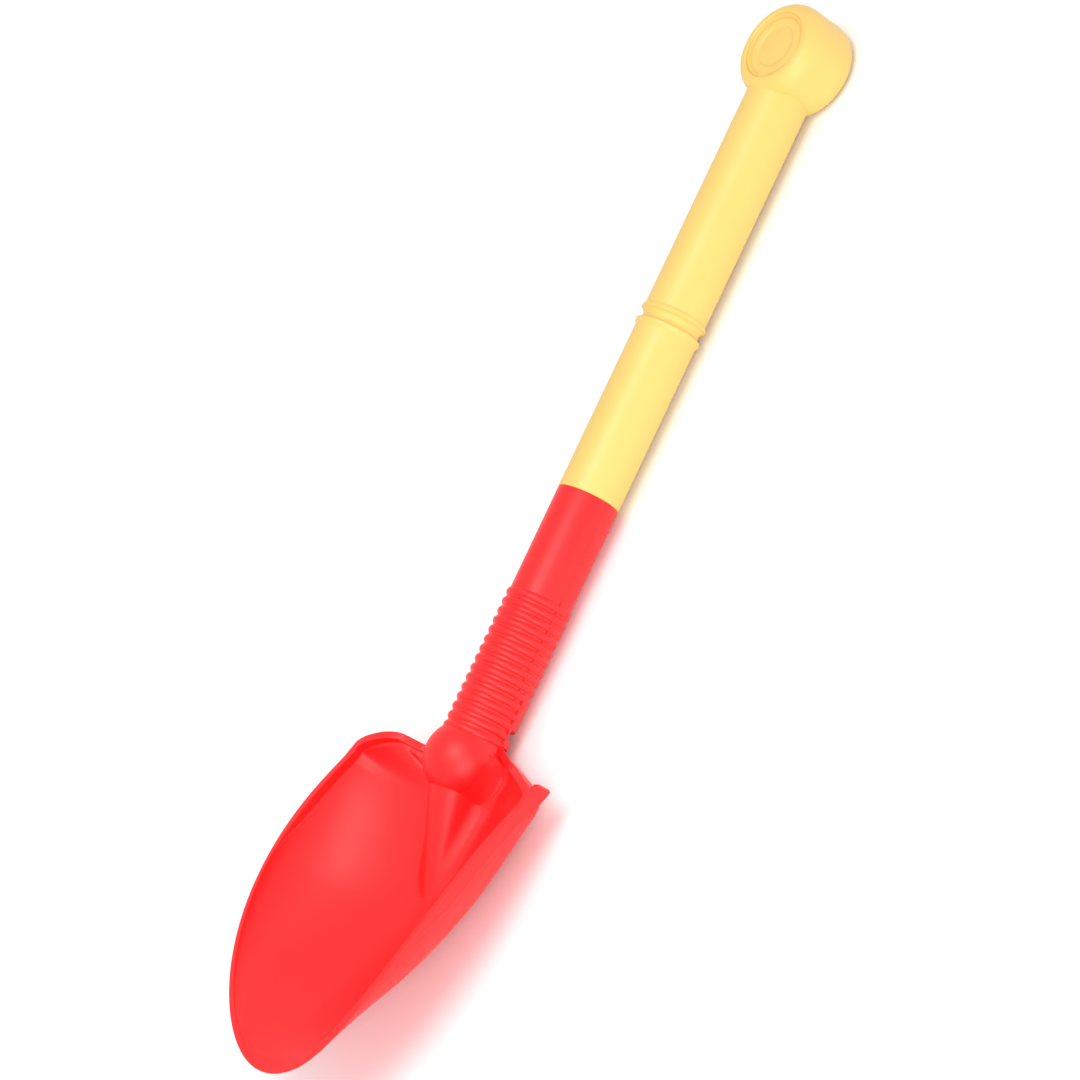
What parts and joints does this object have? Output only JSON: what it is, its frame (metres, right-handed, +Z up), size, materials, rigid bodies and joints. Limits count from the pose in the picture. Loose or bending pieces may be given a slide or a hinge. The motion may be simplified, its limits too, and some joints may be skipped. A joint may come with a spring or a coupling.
{
  "type": "sand shovel",
  "caption": "Child's long-handled sand shovel: open scoop with a stepped rim lip and ribbed socket, hollow round handle with bead rings and a drum knob.",
  "frame": {"origin": "on the ground below the middle of the shovel's length, as it lies on its back", "axes": "+Y along the handle from the scoop's tip to the knob, +Z up out of the open scoop, +X across"},
  "size_m": [0.1268, 0.5152, 0.0453],
  "materials": {
    "red_polypropylene": "satin moulded polypropylene",
    "yellow_polyethylene": "soft satin blow-moulded polyethylene"
  },
  "bodies": {
    "root": {"scoop": "red_polypropylene", "handle": "yellow_polyethylene"}
  },
  "joints": []
}
